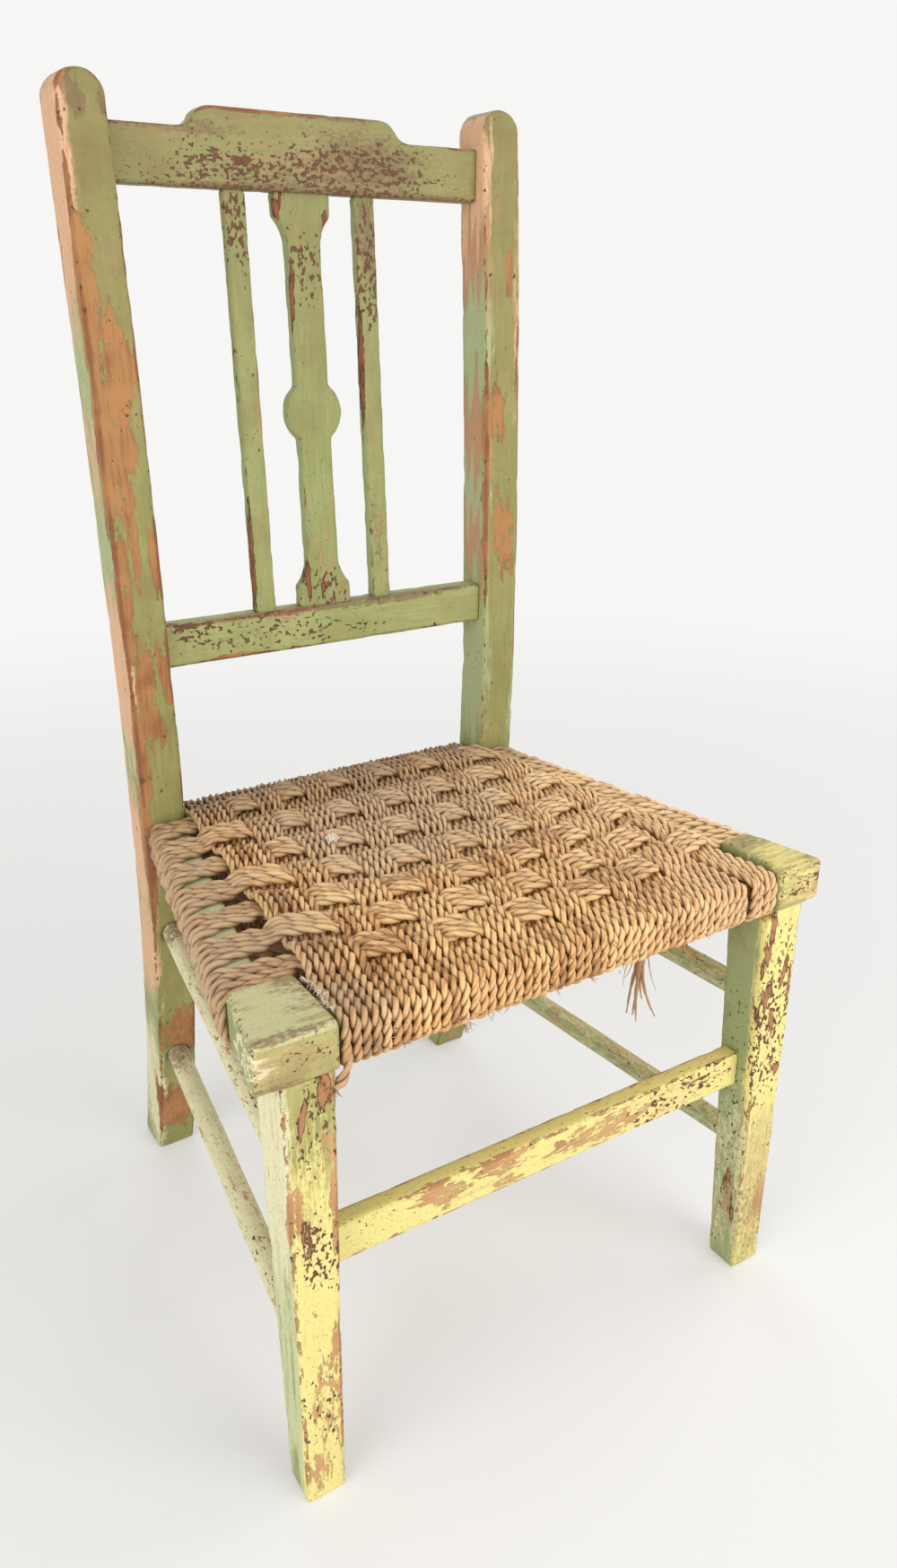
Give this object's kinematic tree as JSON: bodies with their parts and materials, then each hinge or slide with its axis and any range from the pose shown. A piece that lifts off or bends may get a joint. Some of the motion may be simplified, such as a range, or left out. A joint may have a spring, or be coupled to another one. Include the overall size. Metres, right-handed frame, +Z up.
{
  "type": "child chair",
  "caption": "Small painted wooden chair with square tapered front legs, swept rear posts, a banister back with a shaped splat, and a seat woven from twisted cord.",
  "frame": {"origin": "centre of the box that holds the chair, on the floor", "axes": "+Z up, -Y the front of the seat, +X to the right as seen from the front"},
  "size_m": [0.3284, 0.319, 0.64],
  "materials": {
    "painted_wood": "worn green paint over brown wood",
    "seat_cord": "twisted plant-fibre cord"
  },
  "bodies": {
    "root": {"back_seat_rail": "painted_wood", "back_slat_left": "painted_wood", "back_slat_right": "painted_wood", "back_splat": "painted_wood", "crest_rail": "painted_wood", "front_leg_left": "painted_wood", "front_leg_right": "painted_wood", "front_seat_rail": "painted_wood", "front_stretcher": "painted_wood", "lower_back_rail": "painted_wood", "rear_post_left": "painted_wood", "rear_post_right": "painted_wood", "seat_warp_01": "seat_cord", "seat_warp_02": "seat_cord", "seat_warp_03": "seat_cord", "seat_warp_04": "seat_cord", "seat_warp_05": "seat_cord", "seat_warp_06": "seat_cord", "seat_warp_07": "seat_cord", "seat_warp_08": "seat_cord", "seat_warp_09": "seat_cord", "seat_warp_10": "seat_cord", "seat_warp_11": "seat_cord", "seat_warp_12": "seat_cord", "seat_weft_1": "seat_cord", "seat_weft_2": "seat_cord", "seat_weft_3": "seat_cord", "seat_weft_4": "seat_cord", "seat_weft_5": "seat_cord", "seat_weft_6": "seat_cord", "seat_weft_7": "seat_cord", "side_seat_rail_left": "painted_wood", "side_seat_rail_right": "painted_wood", "side_stretcher_lower_left": "painted_wood", "side_stretcher_lower_right": "painted_wood", "side_stretcher_upper_left": "painted_wood", "side_stretcher_upper_right": "painted_wood"}
  },
  "joints": []
}
